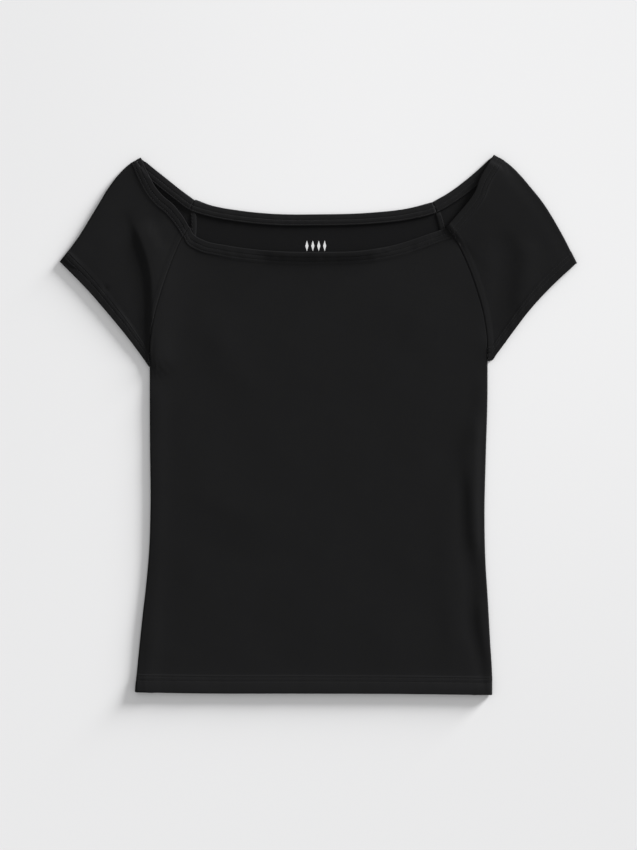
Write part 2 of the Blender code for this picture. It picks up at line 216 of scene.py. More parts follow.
# The folds of the front layer: a path's sides are named as seen along it, and the fade is the share
# of its length over which the fold comes up at each end.
FOLDS = [
    # rise, half width to the left of the path, half width to its right, fade, path
    (1.0, 11, 22, 0.10, [(-149, 227), (-168, 254), (-188, 273), (-205, 306)]),
    (2.6, 9, 9, 0.22, [(92, 207), (54, 200), (0, 198), (-50, 199), (-76, 202)]),
    (0.8, 14, 14, 0.10, [(146, 226), (93, 207), (0, 198), (-68, 200), (-132, 211), (-150, 227)]),
    (2.6, 9, 34, 0.12, [(140, 223), (171, 256), (184, 281), (201, 310)]),
    (2.6, 17, 17, 0.02, [(-222, -306), (-137, -309), (0, -309), (93, -309), (209, -310)]),
    (1.3, 15, 15, 0.02, [(-292, 187), (-252, 243), (-226, 280), (-205, 298)]),
    (-0.8, 8, 8, 0.10, [(294, 186), (254, 251), (230, 281), (208, 300)]),
    (-0.8, 10, 10, 0.10, [(-190, 55), (-205, 75), (-241, 126), (-264, 153), (-310, 197)]),
    (1.1, 12, 12, 0.10, [(-201, -330), (-189, -178), (-186, -98), (-187, 60)]),
    (1.2, 10, 10, 0.20, [(190, -330), (188, -241), (186, -190)]),
    (0.9, 10, 10, 0.25, [(185, -30), (186, 66)]),
    (2.9, 5, 28, 0.15, [(-194, 50), (-192.6, 97), (-192, 120), (-191, 143), (-192, 166),
                        (-197, 190), (-205, 213), (-213, 236)]),
    (-1.7, 16, 6, 0.15, [(-198, 50), (-197, 97), (-199, 120), (-202, 143), (-204, 166),
                         (-208, 190), (-215, 213), (-226, 250)]),
    (-0.9, 3, 3, 0.40, [(-248, 160), (-245, 156), (-242, 152)]),
    (-0.6, 8, 8, 0.30, [(-192, 250), (-186, 226), (-176, 200)]),
    (-2.2, 12, 12, 0.20, [(198, 88), (206, 122), (211, 160), (214, 225)]),
    (0.9, 14, 14, 0.25, [(224, 122), (236, 165), (240, 220)]),
    (-1.9, 8, 7, 0.18, [(190, -330), (185, -270), (175, -226), (174, -178), (167, -132),
                        (165, -86), (164, -40)]),
    (1.9, 18, 8, 0.25, [(182, -170), (180, -132), (178, -86), (178, -20), (177, 30)]),
    (-1.2, 6, 6, 0.25, [(191, -170), (190, -110), (192, -60), (193, 20)]),
    (0.6, 14, 14, 0.30, [(158, -300), (150, -230), (146, -150), (140, -70)]),
    (0.6, 20, 20, 0.35, [(-150, 150), (-90, 60), (-40, 10)]),
    (0.5, 22, 22, 0.35, [(150, 160), (95, 80), (40, 30)]),
    (0.5, 18, 18, 0.35, [(-170, -60), (-110, -95), (-30, -100)]),
    (-0.5, 16, 16, 0.35, [(-165, -120), (-90, -150), (0, -150)]),
    (0.5, 20, 20, 0.35, [(-180, -240), (-120, -200), (-60, -190)]),
]

# The uneven swell of cloth that lies loose.
SWELLS = [
    # seed, wavelength, rise
    (3, 95, 0.16),
    (8, 34, 0.05),
]
HEM_SEED = 21
NECK_SEED = 22
SLEEVE_SEED = 31
STRIP_RIPPLE = (5, 11, 0.07)
STRIP_RIPPLE_FROM = 1.5

# Colours, and the finish of each jersey: dark and light yarn, roughness, and how glossy it is.
JERSEY = ((0.0043, 0.0043, 0.0046, 1), (0.0072, 0.0072, 0.0076, 1), 0.86, 0.105)
# The back panel's jersey is drawn darker and less glossy than the front's. This is painted shade for
# the inside of the back, which lies in the shade of the neck hem and the front layer.
BACK_PAINTED_SHADE = ((0.0036, 0.0036, 0.0039, 1), (0.006, 0.006, 0.0064, 1), 0.9, 0.085)
# The neck hem's jersey is drawn lighter than the rest: a painted highlight where the raised hem faces
# the light.
NECK_HEM_PAINTED_LIGHT = ((0.0056, 0.0056, 0.0059, 1), (0.0088, 0.0088, 0.0092, 1), 0.84, 0.105)
THREAD_COLOUR = (0.0075, 0.0075, 0.008, 1)
INK_COLOURS = ((0.62, 0.62, 0.62, 1), (0.8, 0.8, 0.8, 1))
# The floor's darker and lighter tones: painted light falloff, with the paper drawn darker towards the
# left and the bottom.
PAPER_PAINTED_FALLOFF = ((0.775, 0.775, 0.78, 1), (0.825, 0.825, 0.83, 1))

# The knit, in metres, because its nodes read the cloth's metres.
WALE_PITCH = 0.00095
COURSE_PITCH = 0.00075
KNIT_RISE = 0.00018
ROUGHNESS_SPREAD = 0.06

# The light: an even sky, and a low soft key from the upper right.
SKY_STRENGTH = 0.57
KEY_ELEVATION = 10.5
KEY_AZIMUTH = 48
KEY_ENERGY = 8.4
KEY_ANGLE = 18

# The floor, a little below the cloth.
FLOOR_HALF = 4000
FLOOR_Z = -0.3

# The camera looks straight down and sees this much of the surface, from this height.
VIEW_HEIGHT = 977.5
VIEW_MIDDLE = (-0.6, -0.3)
CAMERA_HEIGHT = 3000
SENSOR = 24


# Curves and surfaces

def smoothstep(value):
    value = np.clip(value, 0, 1)
    return value * value * (3 - 2 * value)


def lengths(points):
    """The distance along a run of points, at each point."""
    steps = np.linalg.norm(np.diff(points, axis=0), axis=1)
    return np.concatenate([[0], np.cumsum(steps)])


def smooth(points, fractions):
    """Points at these fractions of the length of a smooth curve through the given points."""
    points = np.array(points, float)
    at = lengths(points)
    slope = np.gradient(points, at, axis=0)
    fine = np.linspace(0, at[-1], CURVE_SAMPLES)
    span = np.clip(np.searchsorted(at, fine, side="right") - 1, 0, len(at) - 2)
    width = (at[span + 1] - at[span])[:, None]
    t = (fine - at[span])[:, None] / width
    curve = (
        (2 * t**3 - 3 * t**2 + 1) * points[span]
        + (t**3 - 2 * t**2 + t) * width * slope[span]
        + (3 * t**2 - 2 * t**3) * points[span + 1]
        + (t**3 - t**2) * width * slope[span + 1]
    )
    along = lengths(curve)
    wanted = np.array(fractions) * along[-1]
    return np.stack([np.interp(wanted, along, axis) for axis in curve.T], axis=1)


def curve_length(points):
    return lengths(smooth(points, np.linspace(0, 1, CURVE_SAMPLES)))[-1]


def outward(points, way):
    """Unit normals in the plane: to the left of the direction of travel for way 1, right for -1."""
    along = np.gradient(points, lengths(points), axis=0)
    normal = np.stack([-along[:, 1], along[:, 0]], axis=1) * way
    return normal / np.linalg.norm(normal, axis=1, keepdims=True)


def undulation(x, y, seed, wavelength, rise):
    """A gentle uneven swell: waves of about one length in several directions."""
    draw = np.random.default_rng(seed)
    total = np.zeros_like(x)
    waves = 7
    for _ in range(waves):
        direction = draw.uniform(0, 2 * math.pi)
        length = wavelength * draw.uniform(0.7, 1.5)
        phase = draw.uniform(0, 2 * math.pi)
        along = x * math.cos(direction) + y * math.sin(direction)
        total += np.sin(2 * math.pi * along / length + phase)
    return total * rise / math.sqrt(waves)


def fold_heights(x, y):
    """How far the folds raise the front layer at each point."""
    total = np.zeros_like(x)
    for rise, left_width, right_width, fade, path in FOLDS:
        fractions = np.linspace(0, 1, FOLD_SAMPLES)
        run = smooth(path, fractions)
        to_left = outward(run, 1)
        apart = np.hypot(x[..., None] - run[:, 0], y[..., None] - run[:, 1])
        nearest = apart.argmin(axis=-1)
        side = (
            (x - run[nearest, 0]) * to_left[nearest, 0]
            + (y - run[nearest, 1]) * to_left[nearest, 1]
        )
        half_width = np.where(side > 0, left_width, right_width)
        fading = smoothstep(fractions / fade) * smoothstep((1 - fractions) / fade)
        total += rise * fading[nearest] * np.exp(-((apart.min(axis=-1) / half_width) ** 2))
    return total


def front_z(x, y):
    """The height of the middle of the front layer, never through the back nor far off it."""
    sleeve = (
        smoothstep((np.abs(x) - SLEEVE_FROM_X) / SLEEVE_RAMP)
        * smoothstep((y - SLEEVE_FROM_Y) / SLEEVE_RAMP)
    )
    wanted = BODY_Z + (SLEEVE_Z - BODY_Z) * sleeve + fold_heights(x, y)
    for seed, wavelength, rise in SWELLS:
        wanted = wanted + undulation(x, y, seed, wavelength, rise)
    reach = HIGHEST_FRONT_Z - LOWEST_FRONT_Z
    share = (wanted - LOWEST_FRONT_Z) / reach
    return LOWEST_FRONT_Z + reach * (0.5 + 0.5 * np.tanh(2 * (share - 0.5)))


def rows_with_hems(length, first_hem, last_hem):
    """Fractions of a length, close together at each hem's edge, stitching and step."""
    marks = set(np.round(np.arange(0, length, ROW_SPACING), 3)) | {length}
    for hem, flip in ((first_hem, False), (last_hem, True)):
        if not hem:
            continue
        first_fine = hem - NEEDLE_ROWS[1] - FINE_BEFORE
        last_fine = hem + HEM_STEP + FINE_AFTER
        close = [*EDGE_MARKS, *np.arange(first_fine, last_fine, FINE_SPACING)]
        marks = {mark for mark in marks if (length - mark if flip else mark) > hem + HEM_CLEAR}
        marks |= {length - mark if flip else mark for mark in close}
        marks |= {length - mark if flip else mark for mark in OUTER_MARKS}
    return np.array(sorted(marks)) / length


def patch(bottom, top, left, right, across, up):
    """Points that fill four curves which meet at their ends: a Coons patch."""
    u = across[None, :, None]
    v = up[:, None, None]
    corners = (
        (1 - u) * (1 - v) * bottom[0]
        + u * (1 - v) * bottom[-1]
        + (1 - u) * v * top[0]
        + u * v * top[-1]
    )
    between_rows = (1 - v) * bottom[None] + v * top[None]
    between_sides = (1 - u) * left[:, None] + u * right[:, None]
    return between_rows + between_sides - corners


def between(points, first, last, fractions):
    """A smooth curve through the points, with other ends."""
    return smooth([first, *points[1:-1], last], fractions)


def normals(grid):
    along_rows = np.gradient(grid, axis=1, edge_order=2)
    along_columns = np.gradient(grid, axis=0, edge_order=2)
    normal = np.cross(along_rows, along_columns)
    return normal / np.linalg.norm(normal, axis=2, keepdims=True)


def distances(grid, axis):
    """Distances along the grid's rows (axis 1) or columns (axis 0) from its first point."""
    steps = np.linalg.norm(np.diff(grid, axis=axis), axis=2)
    start = np.zeros_like(steps[:, :1] if axis == 1 else steps[:1])
    return np.concatenate([start, np.cumsum(steps, axis=axis)], axis=axis)


# Meshes

def mesh_piece(name, vertices, faces, material, uv=None):
    mesh = bpy.data.meshes.new(name)
    mesh.from_pydata((np.asarray(vertices) * MM).tolist(), [], faces)
    if uv is not None:
        corners = np.empty(len(mesh.loops), np.int32)
        mesh.loops.foreach_get("vertex_index", corners)
        layer = mesh.uv_layers.new(name="cloth")
        layer.data.foreach_set("uv", (uv[corners] * MM).astype(np.float32).ravel())
    mesh.materials.append(material)
    mesh.shade_smooth()
    piece = bpy.data.objects.new(name, mesh)
    bpy.context.scene.collection.objects.link(piece)
    return piece


def closed_shell(upper, lower):
    """Vertices and faces of the solid between two grids of points."""
    rows, columns = upper.shape[:2]
    vertices = np.concatenate([upper.reshape(-1, 3), lower.reshape(-1, 3)])
    below = rows * columns
    index = np.arange(below).reshape(rows, columns)
    quads = np.stack(
        [index[:-1, :-1], index[:-1, 1:], index[1:, 1:], index[1:, :-1]], axis=-1
    ).reshape(-1, 4)
    rim = np.concatenate([index[0], index[1:, -1], index[-1, -2::-1], index[-2:0:-1, 0]])
    following = np.roll(rim, -1)
    walls = np.stack([following, rim, below + rim, below + following], axis=1)
    faces = np.concatenate([quads, below + quads[:, ::-1], walls])
    return vertices, faces.tolist()


def grid_uv(grid, origin_column, origin):
    """Where each point lies on the uncurled cloth, in millimetres."""
    across = distances(grid, 1)
    across = across - across[:, origin_column : origin_column + 1]
    up = distances(grid, 0)
    uv = np.stack([across + origin[0], up + origin[1]], axis=-1).reshape(-1, 2)
    return np.concatenate([uv, uv])


def shell_piece(name, grid, outer, inner, material, origin_column=0, origin=(0, 0)):
    """A shell between two distances from the grid, measured outwards along its normals."""
    normal = normals(grid)
    upper = grid + normal * outer[..., None]
    lower = grid + normal * inner[..., None]
    vertices, faces = closed_shell(upper, lower)
    uv = grid_uv(grid, origin_column, origin)
    return mesh_piece(name, vertices, faces, material, uv), upper, normal


def hem_relief(distance, hem):
    """How far a turned hem stands above single cloth, at this distance from its edge."""
    relief = HEM_RISE * (1 - smoothstep((distance - hem) / HEM_STEP))
    for row in NEEDLE_ROWS:
        away = (distance - (hem - row)) / GROOVE_HALF_WIDTH
        relief = relief - GROOVE_DEPTH * np.exp(-(away**2))
    return relief


def rounding(distance):
    """The share of its thickness that a folded edge has, at this distance from it."""
    inside = np.clip(1 - distance / EDGE_ROUND, 0, MOST_ROUNDED)
    return np.sqrt(1 - inside**2)


def seam_groove(distance):
    return SEAM_DIP * np.exp(-((distance / SEAM_DIP_WIDTH) ** 2))


def allowance(distance):
    """The ridge of the seam allowance below the cloth, beside a seam."""
    return ALLOWANCE_RISE * (1 - smoothstep((distance - ALLOWANCE_WIDTH) / ALLOWANCE_STEP))


def puckers(distance, along, hem, seed):
    """The slight ripple that stitching leaves along a hem."""
    near = np.exp(-(((distance - hem * PUCKER_MIDDLE) / (hem * PUCKER_REACH)) ** 2))
    return near * undulation(along, along * 0, seed, PUCKER_LENGTH, PUCKER_RISE)


# Body panels

def full_turn(radius):
    """The angle by which a layer turns towards the other, so that their edges keep a seam's gap."""
    return np.arccos(np.clip(SEAM_GAP / 2 / (radius - WALL / 2), 0, 1))


def rolled_edge(edge, normal, radius, rolled):
    """Where a rolled edge starts, and its columns of points from there to the edge."""
    turn = np.maximum(full_turn(radius) * rolled, LEAST_TURN)
    strip = radius * full_turn(radius)
    reach = strip * np.sin(turn) / turn
    inset = reach + WALL / 2 * np.sin(turn) + SEAM_GAP / 2 * (1 - np.sin(turn))
    start = edge - normal * inset[:, None]
    columns = []
    for step in range(1, ROLL_SPANS + 1):
        share = step / ROLL_SPANS
        out = strip * np.sin(turn * share) / turn
        drop = strip * (1 - np.cos(turn * share)) / turn
        columns.append((start + normal * out[:, None], drop))
    return start, columns


def body_rows():
    """Fractions of the side and of the seam at which the body's rows lie."""
    side = rows_with_hems(curve_length(SIDE["left"]), BOTTOM_HEM, 0)
    seam = rows_with_hems(curve_length(FRONT_SEAM["left"]), 0, NECK_HEM)
    return side, seam


def body_edge(hand, seam_points):
    """The outline of one side of a panel, its normals, and how far its cloth is rolled."""
    side_rows, seam_rows = body_rows()
    side = smooth(SIDE[hand], side_rows)
    seam = smooth(seam_points, seam_rows)
    edge = np.vstack([side, seam[1:]])
    above_underarm = np.concatenate([np.zeros(len(side)), lengths(seam)[1:]])
    rolled = 1 - smoothstep(above_underarm / UNROLL)
    return edge, outward(edge, 1 if hand == "left" else -1), rolled


def panel_grid(seams, neckline, column_count, front):
    """The middle of a body panel: its flat middle, and a rolled edge on each side."""
    starts, rolls = {}, {}
    for hand in ("left", "right"):
        edge, normal, rolled = body_edge(hand, seams[hand])
        inside = edge - normal * EDGE_INSET
        radius = (front_z(inside[:, 0], inside[:, 1]) - BACK_Z) / 2
        starts[hand], rolls[hand] = rolled_edge(edge, normal, radius, rolled)
    even = np.linspace(0, 1, column_count)
    crowded = (1 - np.cos(math.pi * even)) / 2
    across = (1 - EDGE_CROWDING) * even + EDGE_CROWDING * crowded
    up = lengths(starts["left"]) / lengths(starts["left"])[-1]
    bottom = between(HEM, starts["left"][0], starts["right"][0], across)
    top = between(neckline, starts["left"][-1], starts["right"][-1], across)
    middle = patch(bottom, top, starts["left"], starts["right"], across, up)
    if front:
        heights = front_z(middle[..., 0], middle[..., 1])
    else:
        heights = np.full(middle.shape[:2], BACK_Z)
    turn = -1 if front else 1
    columns = [np.dstack([middle, heights[..., None]])]
    for hand, edge_heights in (("left", heights[:, 0]), ("right", heights[:, -1])):
        for place, drop in rolls[hand]:
            column = np.column_stack([place, edge_heights + turn * drop])[:, None]
            columns = [column, *columns] if hand == "left" else [*columns, column]
    return np.concatenate(columns, axis=1)


def front_jersey(material):
    grid = panel_grid(FRONT_SEAM, FRONT_NECK, FRONT_COLUMNS, front=True)
    up = distances(grid, 0)
    down = up[-1:] - up
    across = distances(grid, 1)
    edge = np.minimum(across, across[:, -1:] - across)
    relief = hem_relief(up, BOTTOM_HEM) + hem_relief(down, NECK_HEM)
    relief += (
        puckers(up, grid[..., 0], BOTTOM_HEM, HEM_SEED)
        + puckers(down, grid[..., 0], NECK_HEM, NECK_SEED)
    )
    relief -= seam_groove(edge)
    thickness = rounding(up) * rounding(down)
    outer = WALL / 2 + relief
    inner = outer - (SHELL + np.maximum(relief, 0)) * thickness
    outer = outer - (SHELL + np.maximum(relief, 0)) * (1 - thickness) / 2
    inner = inner - (SHELL + np.maximum(relief, 0)) * (1 - thickness) / 2
    middle = grid.shape[1] // 2
    piece, skin, normal = shell_piece("front_jersey", grid, outer, inner, material, middle)
    return piece, skin, normal, up, down


def back_jersey(material):
    grid = panel_grid(BACK_SEAM, BACK_NECK, BACK_COLUMNS, front=False)
    up = distances(grid, 0)
    down = up[-1:] - up
    thickness = rounding(down)
    top = WALL / 2 * np.ones(grid.shape[:2])
    # The grid faces up, so its first distance is the inside of the back and the other the floor's.
    outer = top - WALL * (1 - thickness) / 2
    inner = -top + WALL * (1 - thickness) / 2
    middle = grid.shape[1] // 2
    return shell_piece("back_jersey", grid, outer, inner, material, middle)


# Sleeves

def seam_side(hand, seam_points, seam_rows):
    """The sleeve's edge along a seam, one seam gap clear of the panel's."""
    seam = smooth(seam_points, seam_rows)
    normal = outward(seam, 1 if hand == "left" else -1)
    rolled = 1 - smoothstep(lengths(seam) / UNROLL)
    return seam + normal * (SEAM_GAP / 2 * (1 + rolled))[:, None]


def sleeve_jersey(hand, material):
    """One piece of cloth, from the front seam over the fold at the top to the back seam."""
    rows = rows_with_hems(curve_length(FRONT_SEAM[hand]), SLEEVE_HEM, NECK_HEM)
    fold = smooth(TOP_FOLD[hand], rows)
    normal = outward(fold, 1 if hand == "left" else -1)
    inside = fold - normal * EDGE_INSET
    radius = (front_z(inside[:, 0], inside[:, 1]) - BACK_Z) / 2
    start = fold - normal * (radius + WALL / 2)[:, None]
    even = np.linspace(0, 1, SLEEVE_COLUMNS)
    across = np.unique(np.concatenate([even, np.array(SEAM_MARKS) / SLEEVE_WIDTH]))
    front_columns = len(across)

    front_seam = seam_side(hand, FRONT_SEAM[hand], rows)
    opening = between(SLEEVE_OPENING[hand], front_seam[0], start[0], across)
    neckline = between(FRONT_NECK_ON_SLEEVE[hand], front_seam[-1], start[-1], across)
    front = patch(opening, neckline, front_seam, start, across, rows)
    heights = front_z(front[..., 0], front[..., 1])
    radius = (heights[:, -1] - BACK_Z) / 2

    columns = [np.dstack([front, heights[..., None]])]
    for step in range(1, FOLD_SPANS):
        turn = math.pi * step / FOLD_SPANS
        place = start + normal * (radius * math.sin(turn))[:, None]
        height = heights[:, -1] - radius * (1 - math.cos(turn))
        columns.append(np.column_stack([place, height])[:, None])

    across = np.linspace(0, 1, SLEEVE_COLUMNS // 2)
    back_seam = seam_side(hand, BACK_SEAM[hand], rows)
    opening = between(SLEEVE_OPENING[hand][::-1], start[0], back_seam[0], across)
    neckline = between(BACK_NECK_ON_SLEEVE[hand][::-1], start[-1], back_seam[-1], across)
    back = patch(opening, neckline, start, back_seam, across, rows)
    columns.append(np.dstack([back, np.full(back.shape[:2] + (1,), BACK_Z)]))
    grid = np.concatenate(columns, axis=1)

    up = distances(grid, 0)
    down = up[-1:] - up
    across = distances(grid, 1)
    shown = 1 - smoothstep((across - across[:, front_columns - 1 : front_columns] - 1) / 3)
    relief = (hem_relief(up, SLEEVE_HEM) + hem_relief(down, NECK_HEM)) * shown
    relief += puckers(up, across, SLEEVE_HEM, SLEEVE_SEED) * shown
    above_hem = smoothstep((up - SEAM_FADE_FROM) / SEAM_FADE)
    relief += (allowance(across) - seam_groove(across)) * above_hem
    thickness = rounding(up) * rounding(down)
    outer = WALL / 2 + relief
    cloth = (SHELL + np.maximum(relief, 0)) * thickness
    lost = (SHELL + np.maximum(relief, 0)) * (1 - thickness) / 2
    inner = outer - cloth - lost
    outer = outer - lost
    if hand == "left":
        # The left sleeve is drawn from its seam outwards, so its grid is turned to face up.
        grid, outer, inner, up, down = (part[:, ::-1] for part in (grid, outer, inner, up, down))
        front_columns = grid.shape[1] - front_columns
        shown_columns = slice(front_columns, None)
    else:
        shown_columns = slice(0, front_columns)
    name = f"sleeve_{hand}_jersey"
    piece, skin, facing = shell_piece(name, grid, outer, inner, material, front_columns)
    shown = (skin[:, shown_columns], facing[:, shown_columns], up[:, shown_columns],
             down[:, shown_columns])
    return piece, *shown


# The neck hem on the inside of the back

def neck_run():
    """The back neckline from shoulder to shoulder, its inward normals, and where its seams lie."""
    points = BACK_NECK_ON_SLEEVE["left"][::-1] + BACK_NECK[1:] + BACK_NECK_ON_SLEEVE["right"][1:]
    run = smooth(points, np.linspace(0, 1, CURVE_SAMPLES))
    at = lengths(run)
    seams = []
    for hand in ("left", "right"):
        seam_end = np.array(BACK_SEAM[hand][-1])
        seams.append(at[np.linalg.norm(run - seam_end, axis=1).argmin()])
    return run, outward(run, -1), at, seams


def neck_hem(name, start, end, material):
    """The turned hem on the inside of the back, between two distances along the neckline."""
    run, inward, at, _ = neck_run()
    stations = np.linspace(start, end, round((end - start) / STRIP_SPACING) + 1)
    place = np.stack([np.interp(stations, at, axis) for axis in run.T], axis=1)
    across = np.stack([np.interp(stations, at, axis) for axis in inward.T], axis=1)
    floor_z = WALL + STRIP_LIFT
    marks = np.array(STRIP_MARKS) + STRIP_INSET
    width = marks[-1] - marks[0]
    crown = STRIP_CROWN * np.sin(np.pi * (marks - marks[0]) / width)
    near_edge = np.minimum(marks - marks[0], marks[-1] - marks)
    top = STRIP_WALL * rounding(near_edge) + LAYER_GAP + crown
    for row in NEEDLE_ROWS:
        away = (marks - (NECK_HEM - row)) / GROOVE_HALF_WIDTH
        top = top - GROOVE_DEPTH * np.exp(-(away**2))
    upper, lower = [], []
    for distance, height in list(zip(marks, top))[::-1]:
        spot = place + across * distance
        ripple = undulation(stations, stations * 0, *STRIP_RIPPLE) * (distance > STRIP_RIPPLE_FROM)
        upper.append(np.column_stack([spot, floor_z + height + ripple]))
        lower.append(np.column_stack([spot, np.full(len(spot), floor_z)]))
    upper, lower = np.array(upper), np.array(lower)
    vertices, faces = closed_shell(upper, lower)
    uv = np.stack(np.broadcast_arrays(stations[None, :], marks[::-1, None]), axis=-1)
    uv = uv.reshape(-1, 2)
    piece = mesh_piece(name, vertices, faces, material, np.concatenate([uv, uv]))
    return piece, upper, distances(upper, 0)


# Stitching

def line_at(surface, distance, wanted):
    """Points across a grid where the distance along each column is the wanted one."""
    found = []
    for column in range(surface.shape[1]):
        along = distance[:, column]
        order = np.argsort(along)
        found.append([np.interp(wanted, along[order], axis[order])
                      for axis in surface[:, column].T])
    return np.array(found)


def stitches(path, facing, pitch, length, lean=0.0):
    """Vertices and faces of thread that lies along a path, one short bead for each stitch."""
    at = lengths(path)
    count = int(at[-1] / pitch)
    centres = (np.arange(count) + 0.5) * at[-1] / max(count, 1)
    vertices, faces = [], []
    sides = STITCH_SIDES
    for number, centre in enumerate(centres):
        spot = np.array([np.interp(centre, at, axis) for axis in path.T])
        ahead = np.array([np.interp(centre + 0.5, at, axis) for axis in path.T])
        behind = np.array([np.interp(centre - 0.5, at, axis) for axis in path.T])
        up = np.array([np.interp(centre, at, axis) for axis in facing.T])
        up /= np.linalg.norm(up)
        along = ahead - behind
        along /= np.linalg.norm(along)
        across = np.cross(up, along)
        if lean:
            turn = lean if number % 2 else -lean
            along, across = (along * math.cos(turn) + across * math.sin(turn),
                             across * math.cos(turn) - along * math.sin(turn))
        first = len(vertices)
        for share, swell in STITCH_SECTIONS:
            sink = -STITCH_SINK * STITCH_RADIUS * (abs(share) * 2) ** 2
            middle = spot + along * (share * length) + up * sink
            for side in range(sides):
                turn = 2 * math.pi * side / sides
                ring = across * math.cos(turn) + up * math.sin(turn)
                vertices.append(middle + ring * (STITCH_RADIUS * swell))
        for section in range(len(STITCH_SECTIONS) - 1):
            for side in range(sides):
                a = first + section * sides + side
                b = first + section * sides + (side + 1) % sides
                faces.append((a, b, b + sides, a + sides))
        last = first + (len(STITCH_SECTIONS) - 1) * sides
        faces.append(tuple(first + side for side in reversed(range(sides))))
        faces.append(tuple(last + side for side in range(sides)))
    return vertices, faces


def stitch_piece(name, runs, material, pitch=STITCH_PITCH, length=STITCH_LENGTH, lean=0.0):
    """One joined mesh of all the stitches along several paths."""
    vertices, faces = [], []
    for path, facing in runs:
        more, quads = stitches(path, facing, pitch, length, lean)
        faces += [tuple(corner + len(vertices) for corner in quad) for quad in quads]
        vertices += more
    return mesh_piece(name, np.array(vertices), faces, material)


def needle_runs(skin, facing, distance, hem):
    return [(line_at(skin, distance, hem - row), line_at(facing, distance, hem - row))
            for row in NEEDLE_ROWS]


# Seams

def ribbon(name, line, across, half_width, top, thickness, material):
    """A flat band along a line, with its edges rounded off."""
    section = ((-1, 0.45), (-0.8, 0.85), (-0.4, 1), (0, 1), (0.4, 1), (0.8, 0.85), (1, 0.45))
    upper, lower = [], []
    for side, share in section:
        place = line + across * (side * half_width)
        upper.append(np.column_stack([place, top - thickness * (1 - share)]))
        lower.append(np.column_stack([place, top - thickness]))
    upper, lower = np.array(upper), np.array(lower)
    facing = np.cross(upper[0, 1] - upper[0, 0], upper[1, 0] - upper[0, 0])
    if facing[2] > 0:
        upper, lower = upper[::-1], lower[::-1]
    vertices, faces = closed_shell(upper[::-1], lower[::-1])
    return mesh_piece(name, vertices, faces, material, vertices[:, :2])


def seam_filling(hand, material):
    """Cloth that closes the front seam's gap just below its surface."""
    line = smooth(FRONT_SEAM[hand], np.linspace(*FILLING_SPAN, FILLING_SAMPLES))
    across = outward(line, 1)
    top = front_z(line[:, 0], line[:, 1]) + WALL / 2 - SEAM_DIP
    ridge = lengths(line)[-1] - lengths(line)
    top = top + HEM_RISE * (1 - smoothstep((ridge - NECK_HEM) / HEM_STEP))
    name = f"front_seam_{hand}_filling"
    return ribbon(name, line, across, FILLING_WIDTH / 2, top, FILLING_DEPTH, material)


def overlock(hand, cloth_material, thread):
    """The trimmed allowance along the back's seam, on the inside, and the thread around its edge."""
    seam = smooth(BACK_SEAM[hand], np.linspace(*OVERLOCK_SPAN, OVERLOCK_SAMPLES))
    across = outward(seam, 1 if hand == "left" else -1)
    line = seam + across * (OVERLOCK_WIDTH / 2 - OVERLOCK_INSET)
    top = np.full(len(line), WALL + OVERLOCK_LIFT + OVERLOCK_WALL)
    past_band = lengths(line)[-1] - lengths(line)
    below_hem = 1 - smoothstep((past_band - NECK_HEM + 1) / OVERLOCK_DROP)
    top = top - (OVERLOCK_WALL - OVERLOCK_UNDER_HEM) * below_hem
    strip = ribbon(f"back_seam_{hand}_allowance", line, across, OVERLOCK_WIDTH / 2, top,
                   OVERLOCK_WALL, cloth_material)
    open_part = past_band > NECK_HEM + 1
    edge = line + across * (OVERLOCK_WIDTH / 2 - 0.5)
    path = np.column_stack([edge, top + 0.05])[open_part]
    upright = np.tile([0.0, 0.0, 1.0], (len(path), 1))
    runs = [(path, upright)]
    loops = stitch_piece(f"back_seam_{hand}_overlock", runs, thread, OVERLOCK_PITCH,
                         OVERLOCK_LENGTH, OVERLOCK_LEAN)
    return strip, loops


# The printed mark inside the back

def neck_print(material):
    """A generic mark: a short row of plain upright lozenges."""
    vertices, faces = [], []
    for number in range(4):
        x = MARK_MIDDLE[0] + (number - 1.5) * MARK_PITCH
        y = MARK_MIDDLE[1]
        first = len(vertices)
        for across, up in ((-1, 0), (0, -1), (1, 0), (0, 1)):
            vertices.append((x + across * MARK_HALF_WIDTH, y + up * MARK_HALF_HEIGHT, MARK_Z))
        faces.append((first, first + 1, first + 2, first + 3))
    return mesh_piece("neck_print", np.array(vertices), faces, material)


# Materials

def new_material(name):
    material = bpy.data.materials.new(name)
    material.use_nodes = True
    nodes = material.node_tree.nodes
    return material, nodes, material.node_tree.links, nodes["Principled BSDF"]


def math_node(nodes, links, operation, *values):
    node = nodes.new("ShaderNodeMath")
    node.operation = operation
    for socket, value in zip(node.inputs, values):
        if isinstance(value, (int, float)):
            socket.default_value = value
        else:
            links.new(value, socket)
    return node.outputs[0]


